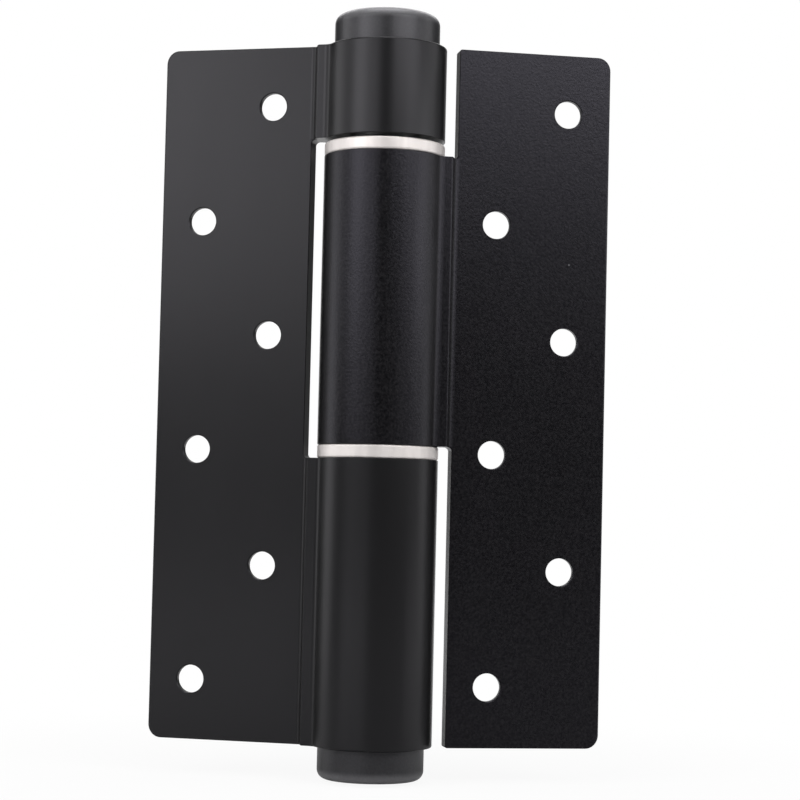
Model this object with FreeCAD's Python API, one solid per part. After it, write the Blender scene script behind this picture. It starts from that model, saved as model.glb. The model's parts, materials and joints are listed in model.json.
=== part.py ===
import FreeCAD, Part
import math
import os

# Self-closing barrel hinge. Lengths in mm, angles in degrees.
# Built with the barrel's axis on Z and the leaves' lower edges at Z = 0, then moved so that the
# origin is the centre of the frame leaf's screw pattern, on its mounting face (which faces -Y).

# leaves
leaf_thick = 4.5
leaf_reach = 58.8            # barrel axis to a leaf's outer edge
leaf_gap = 1.8               # between the two leaves when the hinge is closed
outer_corner_r = 3.5
inner_corner_r = 0.9
edge_round = 0.6
rest_angle = 25.7            # how far the door leaf stands swung back from flat
swing = 180.0                # flat open to closed

# shoulder that joins a leaf to its knuckles
shoulder_proud = 3.0
shoulder_width = 1.7
shoulder_slope = 1.2
shoulder_foot_r = 0.8
shoulder_edge_r = 0.6
web_fillet = 1.6
inner_fillet = 1.0
notch_margin = 0.2           # foot of the shoulder to the edge beside the other leaf's knuckle
notch_corner_r = 1.1

# screw holes
hole_r = 3.6
sink_r = 6.5
hole_margin = 11.3           # far column to the leaf's outer edge
hole_step = 18.6             # between the two columns
hole_rows = 6
hole_pitch = 29.8

# barrel
barrel_r = 15.6
barrel_wall = 3.1
bottom_knuckle = 73.25
middle_knuckle = 74.6
top_knuckle = 24.35
knuckle_chamfer = 0.5
lip_width = 1.0
bottom_lip = 3.65
top_lip = 2.0
key_width = 4.0
key_depth = 1.2

# thrust rings
ring_height = 3.3
lower_ring_gap = 0.25        # open gap above a ring
upper_ring_gap = 0.95
ring_inset = 0.3
ring_chamfer = 0.6

# caps
cap_inset = 1.95
cap_height = 9.0
cap_crown_width = 6.0
cap_crown_height = 3.0
cap_neck_depth = 0.45
cap_neck_height = 0.5
cap_thread_length = 4.8
cap_wall = 1.85              # of the threaded skirt
cap_roof = 3.5

# clearances
running_gap = 0.05
slip_gap = 0.05
thrust_gap = 0.05
loose_gap = 0.3
pin_gap = 0.1
seal_room = 0.15

# snap rings
clip_thick = 1.0
clip_depth = 0.8             # how far a clip reaches into the bore's wall
clip_width = 1.5
clip_opening = 62.0
clip_eye_r = 1.7
clip_eye_hole_r = 0.7
clip_room = 0.7              # cap thread to the clip under the damper

# damper
cylinder_wall = 2.85
plug_flange = 2.9
plug_spigot = 7.65
plug_seal_inset = 3.8
gland_flange = 3.0
gland_spigot = 5.45
gland_seal_inset = 2.15
spanner_hole_r = 1.5
spanner_hole_centre = 8.5
spanner_hole_depth = 2.0
seal_r = 0.9
shaft_seal_r = 1.0
shaft_seal_inset = 1.5

# cam shaft and cross pin
journal_r = 5.0
shaft_shoulder = 2.5
tube_wall = 2.95
tube_end = 2.5               # wall left above and below a slot
slot_room = 0.4              # over the cross pin's radius, half the height of a slot
cross_pin_r = 1.5
cross_pin_grip = 1.1         # how far the pin reaches into a straight groove
drive_square = 7.0
drive_length = 10.0
drive_inset = 1.0            # hub's top to the shaft's top

# piston
head_height = 8.0
rod_end_gap = 1.4
piston_seal_inset = 2.4
check_bore_r = 1.0
check_chamber_r = 2.0
check_chamber_room = 0.6
outlet_rise = 1.2            # piston head to the outlet's centre
retainer_lip = 0.2
retainer_bore_r = 0.9
retainer_thick = 1.2

# speed valve
valve_inset = 0.3
valve_body = 4.1
valve_r = 2.55
valve_needle_r = 1.6
valve_tip_r = 0.4
valve_tip = 2.8
valve_chamber = 2.0
valve_passage_r = 1.0
valve_seal_inset = 1.75
valve_seal_r = 0.5
port_r = 0.7
port_centre = 4.6
valve_key = 2.5
valve_key_depth = 1.6

# drive hub and bearings
hub_height = 9.95
hub_nose = 7.0
hub_relief = 1.0             # round bore that runs on above the foot of the square
bearing_wall = 2.4
nose_chamfer = 0.5

# closing spring
wire_r = 1.5
leg_swell = 0.02             # the straight ends are a hair thicker than the coil
coil_clear = 1.4             # spring to the knuckle's bore
coil_room = 1.0              # spring to what stands above and below it
coil_gap = 0.8               # least gap between turns
leg_length = 5.0             # in the hub
leg_hook = 3.0               # in the spindle

# tension adjuster
collar_nose = 7.05           # how far the collar's nose reaches into the middle knuckle
collar_room = 4.2            # cap thread to the collar
mandrel_clear = 1.6
mandrel_gap = 5.0
anchor_clear = 1.0
anchor_thick = 4.9
washer_margin = 0.9
washer_thick = 1.0
nut_height = 5.0
nut_room = 0.8               # nut's corners to the cap's hollow
spindle_end = 1.5
spindle_key = 6.0
spindle_key_depth = 4.5

# places along the leaves
face_offset = leaf_thick + leaf_gap / 2          # barrel axis to a mounting face
inner_face = leaf_gap / 2
shoulder_face = face_offset + shoulder_proud
shoulder_edge = barrel_r + shoulder_width
shoulder_foot = shoulder_edge + shoulder_slope
notch_edge = shoulder_foot + notch_margin
hole_far = leaf_reach - hole_margin
hole_near = hole_far - hole_step
hole_mid = (hole_near + hole_far) / 2

# radii
bore_r = barrel_r - barrel_wall
lip_r = bore_r - lip_width
key_r = bore_r + key_depth
ring_r = barrel_r - ring_inset
cap_r = barrel_r - cap_inset
fixed_r = bore_r - slip_gap
nose_r = lip_r - slip_gap - bearing_wall - running_gap
cylinder_bore_r = fixed_r - cylinder_wall
slide_r = cylinder_bore_r - running_gap
tube_bore_r = slide_r - tube_wall
cross_pin_reach = cylinder_bore_r + cross_pin_grip
ball_r = check_chamber_r - loose_gap
coil_r = bore_r - coil_clear - wire_r
mandrel_r = coil_r - wire_r - mandrel_clear
anchor_r = bore_r - anchor_clear
leg_r = wire_r + leg_swell
leg_hole_r = leg_r + pin_gap
cap_hollow_r = fixed_r - cap_wall
nut_across = 2 * (cap_hollow_r - nut_room) * math.cos(math.pi / 6)
washer_r = nut_across / 2 + washer_margin

# levels of the knuckles
middle_bottom = bottom_knuckle + ring_height + lower_ring_gap
middle_top = middle_bottom + middle_knuckle
top_bottom = middle_top + ring_height + upper_ring_gap
leaf_height = top_bottom + top_knuckle
first_row = (leaf_height - (hole_rows - 1) * hole_pitch) / 2

# levels of the damper; the piston's travel takes the room that is left
plug_clip_low = cap_thread_length + clip_room
plug_bottom = plug_clip_low + clip_thick + slip_gap
cylinder_bottom = plug_bottom + plug_flange
plug_top = cylinder_bottom + plug_spigot
gland_top = bottom_knuckle - bottom_lip - 2 * slip_gap
cylinder_top = gland_top - gland_flange
gland_bottom = cylinder_top - gland_spigot
shoulder_top = gland_bottom - thrust_gap
tube_top = shoulder_top - shaft_shoulder
slot_half = cross_pin_r + slot_room
slot_margin = slot_half + tube_end
travel = (tube_top - 2 * slot_margin - head_height - 2 * loose_gap - plug_top) / 2
slot_high = tube_top - slot_margin
slot_low = slot_high - travel
tube_bottom = slot_low - slot_margin
lead = travel * 360.0 / swing
pin_level = slot_high - lead * rest_angle / 360.0
head_top = pin_level - travel - slot_margin - loose_gap
head_bottom = head_top - head_height
piston_seal_level = head_top - piston_seal_inset
plug_seal_level = plug_top - plug_seal_inset
gland_seal_level = gland_bottom + gland_seal_inset
shaft_seal_level = gland_top - shaft_seal_inset

# levels of the speed valve
valve_bottom = plug_bottom + valve_inset
valve_neck = valve_bottom + valve_body
valve_bore_top = valve_neck + valve_chamber
port_level = valve_neck + valve_chamber / 2
valve_seal_level = valve_neck - valve_seal_inset

# levels of the hub, the spring and the adjuster
hub_bottom = middle_bottom + thrust_gap
hub_top = hub_bottom + hub_height
hub_clip_low = hub_top + slip_gap
shaft_top = hub_top - drive_inset
square_bottom = shaft_top - drive_length
coil_bottom = hub_clip_low + clip_thick + coil_room + wire_r
leg_bottom = hub_top - leg_length
collar_nose_bottom = middle_top - collar_nose
anchor_top = collar_nose_bottom - thrust_gap
anchor_bottom = anchor_top - anchor_thick
coil_top = anchor_bottom - coil_room - wire_r
coil_height = coil_top - coil_bottom
coil_turns = int(coil_height / (2 * wire_r + coil_gap))
leg_top = anchor_bottom + leg_hook
mandrel_bottom = hub_top + mandrel_gap
collar_shoulder = top_bottom + top_lip + slip_gap
collar_top = leaf_height - cap_thread_length - collar_room
washer_bottom = collar_top + thrust_gap
nut_bottom = washer_bottom + washer_thick
spindle_top = nut_bottom + nut_height + spindle_end

up = FreeCAD.Vector(0, 0, 1)
centre = FreeCAD.Vector(0, 0, 0)


def point(r, z):
    return FreeCAD.Vector(r, 0, z)


def turned(profile):
    """Solid of revolution about Z from (radius, level) pairs."""
    corners = [point(r, z) for r, z in profile]
    wire = Part.makePolygon(corners + corners[:1])
    return Part.Face(wire).revolve(centre, up, 360)


def disc(r, low, high):
    return Part.makeCylinder(r, high - low, point(0, low))


def sleeve(outer, inner, low, high):
    return disc(outer, low, high).cut(disc(inner, low, high))


def prism(sides, across, low, high):
    """Regular prism on Z, from its width across flats."""
    reach = across / 2 / math.cos(math.pi / sides)
    turns = [(i + 0.5) * 2 * math.pi / sides for i in range(sides + 1)]
    corners = [FreeCAD.Vector(reach * math.cos(t), reach * math.sin(t), low) for t in turns]
    return Part.Face(Part.makePolygon(corners)).extrude(up * (high - low))


def seal_ring(mid_r, r, level):
    return Part.makeTorus(mid_r, r, point(0, level), up)


def seal_groove(inner, outer, r, level):
    half = r + seal_room
    return sleeve(outer, inner, level - half, level + half)


def keys(r, width, low, high):
    """The pair of ribs or keyways that stand out of a bore on X."""
    corner = FreeCAD.Vector(-r, -width / 2, low)
    return Part.makeBox(2 * r, width, high - low, corner)


def keyed(r, low, high):
    ribs = keys(key_r - slip_gap, key_width - 2 * slip_gap, low, high)
    return disc(r, low, high).fuse(ribs).removeSplitter()


# ---- leaves, drawn as (along the leaf, towards the mounting face) ----

def plan(side, along, out, z=0.0):
    return FreeCAD.Vector(side * along, -out, z)


def rounded(side, corners):
    """Edges of an open line whose inner corners are rounded; corners are (along, out, radius)."""
    edges = []
    start = plan(side, corners[0][0], corners[0][1])
    for i in range(1, len(corners) - 1):
        here = plan(side, corners[i][0], corners[i][1])
        back = plan(side, corners[i - 1][0], corners[i - 1][1]) - here
        ahead = plan(side, corners[i + 1][0], corners[i + 1][1]) - here
        back.normalize()
        ahead.normalize()
        half = back.getAngle(ahead) / 2
        radius = corners[i][2]
        leave = here + back * (radius / math.tan(half))
        meet = here + ahead * (radius / math.tan(half))
        bisector = (back + ahead).normalize()
        middle = here + bisector * (radius / math.sin(half) - radius)
        edges.append(Part.makeLine(start, leave))
        edges.append(Part.Arc(leave, middle, meet).toShape())
        start = meet
    edges.append(Part.makeLine(start, plan(side, corners[-1][0], corners[-1][1])))
    return edges


def concave(side, line_out, radius, sign):
    """Fillet between a flat of the web and the barrel: on the flat, in the middle, on the barrel."""
    out = line_out + sign * radius
    along = math.sqrt((barrel_r + radius) ** 2 - out ** 2)
    middle_of_arc = plan(side, along, out)
    on_flat = plan(side, along, line_out)
    on_barrel = middle_of_arc * (barrel_r / (barrel_r + radius))
    chord = (on_flat + on_barrel) * 0.5 - middle_of_arc
    halfway = middle_of_arc + chord.normalize() * radius
    return along, on_flat, halfway, on_barrel


def knuckle_section(side):
    foot, foot_flat, foot_half, foot_barrel = concave(side, inner_face, inner_fillet, -1)
    top, top_flat, top_half, top_barrel = concave(side, shoulder_face, web_fillet, 1)
    outline = [
        (foot, inner_face, 0),
        (leaf_reach, inner_face, edge_round),
        (leaf_reach, face_offset, edge_round),
        (shoulder_foot, face_offset, shoulder_foot_r),
        (shoulder_edge, shoulder_face, shoulder_edge_r),
        (top, shoulder_face, 0),
    ]
    edges = rounded(side, outline)
    edges.append(Part.Arc(top_flat, top_half, top_barrel).toShape())
    edges.append(Part.Arc(top_barrel, plan(side, -barrel_r, 0), foot_barrel).toShape())
    edges.append(Part.Arc(foot_barrel, foot_half, foot_flat).toShape())
    return Part.Face(Part.Wire(edges))


def plate_section(side):
    outline = [
        (notch_edge, inner_face, 0),
        (leaf_reach, inner_face, edge_round),
        (leaf_reach, face_offset, edge_round),
        (notch_edge, face_offset, 0),
    ]
    edges = rounded(side, outline)
    edges.append(Part.makeLine(plan(side, notch_edge, face_offset), plan(side, notch_edge, inner_face)))
    return Part.Face(Part.Wire(edges))


def raised(face, low, high):
    return face.translated(point(0, low)).extrude(up * (high - low))


def through_plate(side, r, along, z):
    """Round tool right through the leaf."""
    return Part.makeCylinder(r, leaf_thick, plan(side, along, inner_face, z), FreeCAD.Vector(0, -1, 0))


def corner_piece(side, along, z, r, inward_along, inward_z):
    """What lies between a square corner and its rounding."""
    low = min(along, along + inward_along * r)
    box_x = min(side * low, side * (low + r))
    box_z = min(z, z + inward_z * r)
    box = Part.makeBox(r, leaf_thick, r, FreeCAD.Vector(box_x, -face_offset, box_z))
    return box.cut(through_plate(side, r, along + inward_along * r, z + inward_z * r))


def screw_hole(side, along, z):
    straight = through_plate(side, hole_r, along, z)
    mouth = plan(side, along, inner_face, z)
    cone = Part.makeCone(sink_r, hole_r, sink_r - hole_r, mouth, FreeCAD.Vector(0, -1, 0))
    return straight.fuse(cone)


def screw_holes(side, near_first):
    """Zigzag of holes from the foot up."""
    tools = []
    for row in range(hole_rows):
        near = (row % 2 == 0) == near_first
        along = hole_near if near else hole_far
        tools.append(screw_hole(side, along, first_row + row * hole_pitch))
    return tools


def knuckle_edges(side, low, high):
    """Tools for the turned chamfers at both ends of a knuckle, kept clear of the web."""
    inner = barrel_r - knuckle_chamfer
    outer = barrel_r + knuckle_chamfer
    below = turned([(inner, low), (outer, low - knuckle_chamfer), (outer, low + 2 * knuckle_chamfer)])
    above = turned([(inner, high), (outer, high - 2 * knuckle_chamfer), (outer, high + knuckle_chamfer)])
    depth = shoulder_face + web_fillet - inner_face + inner_fillet
    corner = FreeCAD.Vector(min(0, side * leaf_reach), -shoulder_face - web_fillet, 0)
    web = Part.makeBox(leaf_reach, depth, leaf_height, corner)
    return [below.cut(web), above.cut(web)]


def clip_groove(low):
    return disc(bore_r + clip_depth + slip_gap, low - slip_gap, low + clip_thick + slip_gap)


def main_bore(low, high):
    return disc(bore_r, low, high).fuse(keys(key_r, key_width, low, high))


def frame_leaf():
    side = -1
    body = raised(knuckle_section(side), 0, bottom_knuckle)
    body = body.fuse([
        raised(knuckle_section(side), top_bottom, leaf_height),
        raised(plate_section(side), bottom_knuckle, top_bottom),
        corner_piece(side, notch_edge, bottom_knuckle, notch_corner_r, -1, 1),
        corner_piece(side, notch_edge, top_bottom, notch_corner_r, -1, -1),
    ]).removeSplitter()
    tools = screw_holes(side, False)
    tools.append(corner_piece(side, leaf_reach, 0, outer_corner_r, -1, 1))
    tools.append(corner_piece(side, leaf_reach, leaf_height, outer_corner_r, -1, -1))
    tools += knuckle_edges(side, 0, bottom_knuckle)
    tools += knuckle_edges(side, top_bottom, leaf_height)
    tools.append(main_bore(0, bottom_knuckle - bottom_lip))
    tools.append(main_bore(top_bottom + top_lip, leaf_height))
    tools.append(disc(lip_r, 0, leaf_height))
    tools.append(clip_groove(plug_clip_low))
    return body.cut(tools)


def door_leaf():
    side = 1
    body = raised(knuckle_section(side), middle_bottom, middle_top)
    body = body.fuse([
        raised(plate_section(side), 0, middle_bottom),
        raised(plate_section(side), middle_top, leaf_height),
        corner_piece(side, notch_edge, middle_bottom, notch_corner_r, -1, -1),
        corner_piece(side, notch_edge, middle_top, notch_corner_r, -1, 1),
    ]).removeSplitter()
    tools = screw_holes(side, True)
    tools.append(corner_piece(side, leaf_reach, 0, outer_corner_r, -1, 1))
    tools.append(corner_piece(side, leaf_reach, leaf_height, outer_corner_r, -1, -1))
    tools.append(corner_piece(side, notch_edge, 0, inner_corner_r, 1, 1))
    tools.append(corner_piece(side, notch_edge, leaf_height, inner_corner_r, 1, -1))
    tools += knuckle_edges(side, middle_bottom, middle_top)
    tools.append(main_bore(middle_bottom, middle_top))
    tools.append(clip_groove(hub_clip_low))
    return body.cut(tools)


# ---- rings, bearings, caps ----

def thrust_ring(inner, low):
    high = low + ring_height
    return turned([
        (inner, low),
        (ring_r - ring_chamfer, low),
        (ring_r, low + ring_chamfer),
        (ring_r, high - ring_chamfer),
        (ring_r - ring_chamfer, high),
        (inner, high),
    ])


def lower_ring():
    return thrust_ring(lip_r, bottom_knuckle)


def upper_ring():
    return thrust_ring(nose_r + loose_gap, middle_top)


def lower_bearing():
    return sleeve(lip_r - slip_gap, nose_r + running_gap, gland_top + slip_gap, middle_bottom)


def upper_bearing():
    return sleeve(fixed_r, nose_r + running_gap, anchor_top + loose_gap, middle_top - slip_gap)


def cap():
    """Domed cap with its threaded skirt, the skirt downwards and the seat at Z = 0."""
    crown_start = cap_r - cap_crown_width
    side_top = cap_height - cap_crown_height
    corners = [
        point(crown_start, cap_height),
        point(0, cap_height),
        point(0, cap_height - cap_roof),
        point(cap_hollow_r, cap_height - cap_roof),
        point(cap_hollow_r, -cap_thread_length),
        point(fixed_r, -cap_thread_length),
        point(fixed_r, 0),
        point(cap_r - cap_neck_depth, 0),
        point(cap_r - cap_neck_depth, cap_neck_height),
        point(cap_r, cap_neck_height),
        point(cap_r, side_top),
    ]
    edges = [Part.makeLine(a, b) for a, b in zip(corners, corners[1:])]
    crown_end = point(crown_start, cap_height)
    oval = Part.Ellipse(point(cap_r, side_top), crown_end, point(crown_start, side_top))
    edges.append(Part.ArcOfEllipse(oval, 0, math.pi / 2).toShape())
    return Part.Face(Part.Wire(edges)).revolve(centre, up, 360)


def top_cap():
    return cap().translated(point(0, leaf_height))


def bottom_cap():
    shape = cap()
    shape.rotate(centre, FreeCAD.Vector(1, 0, 0), 180)
    return shape


# ---- damper ----

def damper_cylinder():
    body = keyed(fixed_r, cylinder_bottom, cylinder_top)
    floor = slot_low - cross_pin_r - pin_gap - loose_gap
    half = cross_pin_r + pin_gap
    grooves = keys(cross_pin_reach + loose_gap, 2 * half, floor, cylinder_top)
    return body.cut([disc(cylinder_bore_r, cylinder_bottom, cylinder_top), grooves])


def bore_groove(r, level):
    """Groove in the spigot of the plug, the gland or the piston, for a seal of section r."""
    return seal_groove(slide_r - 2 * r - running_gap, cylinder_bore_r, r, level)


def spigot_seal(level):
    return seal_ring(slide_r - seal_r, seal_r, level)


def gland():
    body = turned([
        (journal_r + running_gap, gland_bottom),
        (slide_r, gland_bottom),
        (slide_r, cylinder_top),
        (fixed_r, cylinder_top),
        (fixed_r, gland_top),
        (journal_r + running_gap, gland_top),
    ])
    shaft_groove_r = journal_r + running_gap * 2 + 2 * shaft_seal_r
    shaft_groove = seal_groove(journal_r, shaft_groove_r, shaft_seal_r, shaft_seal_level)
    return body.cut([bore_groove(seal_r, gland_seal_level), shaft_groove])


def shaft_seal():
    return seal_ring(journal_r + running_gap + shaft_seal_r, shaft_seal_r, shaft_seal_level)


def bottom_plug():
    body = disc(fixed_r, plug_bottom, cylinder_bottom).fuse(disc(slide_r, cylinder_bottom, plug_top))
    port = disc(port_r, port_level, plug_top).translated(FreeCAD.Vector(0, port_centre, 0))
    side_port = Part.makeCylinder(port_r, port_centre, point(0, port_level), FreeCAD.Vector(0, 1, 0))
    tools = [
        disc(valve_r + running_gap, plug_bottom, valve_bore_top),
        disc(valve_passage_r, plug_bottom, plug_top),
        bore_groove(seal_r, plug_seal_level),
        port,
        side_port,
    ]
    spanner = disc(spanner_hole_r, plug_bottom, plug_bottom + spanner_hole_depth)
    tools += [spanner.translated(point(x, 0)) for x in (-spanner_hole_centre, spanner_hole_centre)]
    return body.removeSplitter().cut(tools)


def snap_ring(low, opening_at):
    """Internal snap ring with two eyes, its opening centred on the angle opening_at."""
    outer = bore_r + clip_depth
    inner = bore_r - clip_width
    high = low + clip_thick
    half = math.radians(clip_opening / 2)
    reach = 2 * outer
    wedge = [point(0, low)]
    wedge += [FreeCAD.Vector(reach * math.cos(s * half), reach * math.sin(s * half), low) for s in (-1, 1)]
    opening = Part.Face(Part.makePolygon(wedge + wedge[:1])).extrude(up * clip_thick)
    ring = sleeve(outer, inner, low, high).cut(opening)
    eye_at = half + clip_eye_r / inner
    eye_x = inner * math.cos(eye_at)
    eye_y = inner * math.sin(eye_at)
    eye_centres = [FreeCAD.Vector(eye_x, y, 0) for y in (-eye_y, eye_y)]
    ring = ring.fuse([disc(clip_eye_r, low, high).translated(c) for c in eye_centres])
    ring = ring.cut([disc(clip_eye_hole_r, low, high).translated(c) for c in eye_centres])
    ring = ring.common(disc(outer, low, high)).removeSplitter()
    ring.rotate(centre, up, opening_at)
    return ring


def speed_valve():
    body = turned([
        (0, valve_bottom),
        (valve_r, valve_bottom),
        (valve_r, valve_neck),
        (valve_needle_r, valve_neck),
        (valve_tip_r, valve_neck + valve_tip),
        (0, valve_neck + valve_tip),
    ])
    root = valve_r - 2 * valve_seal_r - running_gap
    groove = seal_groove(root, valve_r + slip_gap, valve_seal_r, valve_seal_level)
    socket = prism(6, valve_key, valve_bottom, valve_bottom + valve_key_depth)
    return body.cut([groove, socket])


def helical_slot(start_angle):
    """Tool for one slot: a bar swept up a right-hand helix through half a turn, with round ends."""
    inner = tube_bore_r - loose_gap
    outer = slide_r + loose_gap
    helix = Part.makeHelix(lead, travel, (inner + outer) / 2)
    bar = Part.makePolygon([
        point(inner, -slot_half),
        point(outer, -slot_half),
        point(outer, slot_half),
        point(inner, slot_half),
        point(inner, -slot_half),
    ])
    swept = Part.Wire(helix).makePipeShell([bar], True, True)
    end = Part.makeCylinder(slot_half, outer - inner, point(inner, 0), FreeCAD.Vector(1, 0, 0))
    far_end = end.copy()
    far_end.rotate(centre, up, swing)
    far_end.translate(point(0, travel))
    tools = [swept, end, far_end]
    for tool in tools:
        tool.rotate(centre, up, start_angle)
        tool.translate(point(0, slot_low))
    return tools


def cam_shaft():
    body = disc(slide_r, tube_bottom, shoulder_top).fuse([
        disc(journal_r, shoulder_top, square_bottom),
        prism(4, drive_square, square_bottom, shaft_top),
    ])
    body = body.cut(disc(tube_bore_r, tube_bottom, tube_top))
    body.rotate(centre, up, 90)      # seams of the round faces clear of the slots' ends
    for start_angle in (-swing, 180 - swing):
        body = body.cut(helical_slot(start_angle))
    return body


def cross_bar(r, reach, level):
    return Part.makeCylinder(r, 2 * reach, point(-reach, level), FreeCAD.Vector(1, 0, 0))


def cross_pin():
    return cross_bar(cross_pin_r, cross_pin_reach, pin_level)


def piston():
    rod_r = tube_bore_r - running_gap
    rod_top = pin_level + slot_margin - rod_end_gap
    body = disc(slide_r, head_bottom, head_top).fuse(disc(rod_r, head_top, rod_top))
    chamber_top = head_bottom + retainer_thick + 2 * ball_r + check_chamber_room
    bore_top = head_top + outlet_rise
    outlet = Part.makeCylinder(check_bore_r, rod_r, point(0, bore_top), FreeCAD.Vector(0, 1, 0))
    tools = [
        bore_groove(seal_r, piston_seal_level),
        cross_bar(cross_pin_r + slip_gap, cross_pin_reach, pin_level),
        disc(check_chamber_r + retainer_lip, head_bottom, head_bottom + retainer_thick),
        disc(check_chamber_r, head_bottom, chamber_top),
        disc(check_bore_r, head_bottom, bore_top),
        outlet,
    ]
    return body.removeSplitter().cut(tools)


def check_ball():
    return Part.makeSphere(ball_r, point(0, head_bottom + retainer_thick + ball_r + slip_gap))


def ball_retainer():
    outer = check_chamber_r + retainer_lip - slip_gap
    return sleeve(outer, retainer_bore_r, head_bottom, head_bottom + retainer_thick)


# ---- spring and its adjuster ----

def nose(low, high):
    """Bearing nose with a chamfered foot."""
    return turned([
        (0, low),
        (nose_r - nose_chamfer, low),
        (nose_r, low + nose_chamfer),
        (nose_r, high),
        (0, high),
    ])


def drive_hub():
    nose_bottom = hub_bottom - hub_nose
    body = keyed(fixed_r, hub_bottom, hub_top).fuse(nose(nose_bottom, hub_bottom)).removeSplitter()
    leg_hole = disc(leg_hole_r, leg_bottom - pin_gap, hub_top).translated(point(coil_r, 0))
    tools = [
        disc(journal_r + pin_gap, nose_bottom, square_bottom + hub_relief),
        prism(4, drive_square + 2 * slip_gap, square_bottom, hub_top),
        leg_hole,
    ]
    return body.cut(tools)


def torsion_spring():
    helix = Part.makeHelix(coil_height / coil_turns, coil_height, coil_r)
    section = Part.Wire(Part.makeCircle(wire_r, point(coil_r, 0), FreeCAD.Vector(0, 1, 0)))
    coils = Part.Wire(helix).makePipeShell([section], True, True)
    coils.translate(point(0, coil_bottom))
    legs = [disc(leg_r, leg_bottom, coil_bottom + wire_r), disc(leg_r, coil_top - wire_r, leg_top)]
    return coils.fuse([leg.translated(point(coil_r, 0)) for leg in legs])


def tension_collar():
    body = keyed(fixed_r, collar_shoulder, collar_top)
    body = body.fuse(nose(collar_nose_bottom, collar_shoulder)).removeSplitter()
    return body.cut(disc(journal_r + running_gap, collar_nose_bottom, collar_top))


def tension_spindle():
    body = turned([
        (0, mandrel_bottom),
        (mandrel_r - nose_chamfer, mandrel_bottom),
        (mandrel_r, mandrel_bottom + nose_chamfer),
        (mandrel_r, anchor_bottom),
        (anchor_r, anchor_bottom),
        (anchor_r, anchor_top),
        (journal_r, anchor_top),
        (journal_r, spindle_top),
        (0, spindle_top),
    ])
    leg_hole = disc(leg_hole_r, anchor_bottom, leg_top + pin_gap).translated(point(coil_r, 0))
    socket = prism(6, spindle_key, spindle_top - spindle_key_depth, spindle_top)
    return body.cut([leg_hole, socket])


def lock_washer():
    return sleeve(washer_r, journal_r + slip_gap, washer_bottom, nut_bottom)


def lock_nut():
    nut_top = nut_bottom + nut_height
    bore = disc(journal_r + slip_gap, nut_bottom, nut_top)
    return prism(6, nut_across, nut_bottom, nut_top).cut(bore)


# ---- the whole hinge ----

fixed_pieces = {
    "frame_leaf": frame_leaf(),
    "top_cap": top_cap(),
    "bottom_cap": bottom_cap(),
    "lower_ring": lower_ring(),
    "lower_bearing": lower_bearing(),
    "tension_collar": tension_collar(),
    "damper_cylinder": damper_cylinder(),
    "gland": gland(),
    "gland_seal": spigot_seal(gland_seal_level),
    "shaft_seal": shaft_seal(),
    "bottom_plug": bottom_plug(),
    "plug_seal": spigot_seal(plug_seal_level),
    "plug_clip": snap_ring(plug_clip_low, 90),
    "speed_valve": speed_valve(),
    "valve_seal": seal_ring(valve_r - valve_seal_r, valve_seal_r, valve_seal_level),
    "piston": piston(),
    "piston_seal": spigot_seal(piston_seal_level),
    "cross_pin": cross_pin(),
    "check_ball": check_ball(),
    "ball_retainer": ball_retainer(),
}

# drawn with the leaves flat open, then swung back by rest_angle
swung_pieces = {
    "door_leaf": door_leaf(),
    "upper_ring": upper_ring(),
    "upper_bearing": upper_bearing(),
    "drive_hub": drive_hub(),
    "hub_clip": snap_ring(hub_clip_low, 0),
    "cam_shaft": cam_shaft(),
    "torsion_spring": torsion_spring(),
    "tension_spindle": tension_spindle(),
    "lock_washer": lock_washer(),
    "lock_nut": lock_nut(),
}

os.makedirs("parts", exist_ok=True)
for shape in swung_pieces.values():
    shape.rotate(centre, up, rest_angle)
for name, shape in {**fixed_pieces, **swung_pieces}.items():
    shape.translate(FreeCAD.Vector(hole_mid, face_offset, -leaf_height / 2))
    shape.exportStep("parts/" + name + ".step")
    print(name, len(shape.Solids), shape.isValid(), round(shape.Volume, 2))
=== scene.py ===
import json
import math
import bmesh
import bpy
from mathutils import Matrix, Vector


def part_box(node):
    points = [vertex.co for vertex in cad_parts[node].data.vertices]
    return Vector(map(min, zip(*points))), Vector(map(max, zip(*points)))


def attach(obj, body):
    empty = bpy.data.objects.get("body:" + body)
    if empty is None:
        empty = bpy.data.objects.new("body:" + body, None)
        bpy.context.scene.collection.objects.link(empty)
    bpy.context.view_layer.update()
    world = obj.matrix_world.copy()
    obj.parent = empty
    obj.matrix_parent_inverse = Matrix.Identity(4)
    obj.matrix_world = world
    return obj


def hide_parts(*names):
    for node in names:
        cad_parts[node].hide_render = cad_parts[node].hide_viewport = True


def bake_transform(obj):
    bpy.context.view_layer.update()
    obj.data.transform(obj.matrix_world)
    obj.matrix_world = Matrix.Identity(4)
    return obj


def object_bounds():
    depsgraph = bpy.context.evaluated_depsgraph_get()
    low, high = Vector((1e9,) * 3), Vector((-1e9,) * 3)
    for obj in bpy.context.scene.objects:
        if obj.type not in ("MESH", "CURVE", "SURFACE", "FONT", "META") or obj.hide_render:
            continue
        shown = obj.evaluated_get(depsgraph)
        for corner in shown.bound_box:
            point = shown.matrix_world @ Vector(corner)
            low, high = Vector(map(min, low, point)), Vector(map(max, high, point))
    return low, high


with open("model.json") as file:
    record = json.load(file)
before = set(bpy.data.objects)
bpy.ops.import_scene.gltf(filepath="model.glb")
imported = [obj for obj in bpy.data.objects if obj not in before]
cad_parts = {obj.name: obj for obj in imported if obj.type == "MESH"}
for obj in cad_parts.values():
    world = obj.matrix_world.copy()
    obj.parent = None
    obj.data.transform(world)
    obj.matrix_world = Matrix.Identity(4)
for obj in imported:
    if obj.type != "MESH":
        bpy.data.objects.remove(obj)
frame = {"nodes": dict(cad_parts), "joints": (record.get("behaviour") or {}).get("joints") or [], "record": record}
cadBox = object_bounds()

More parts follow.
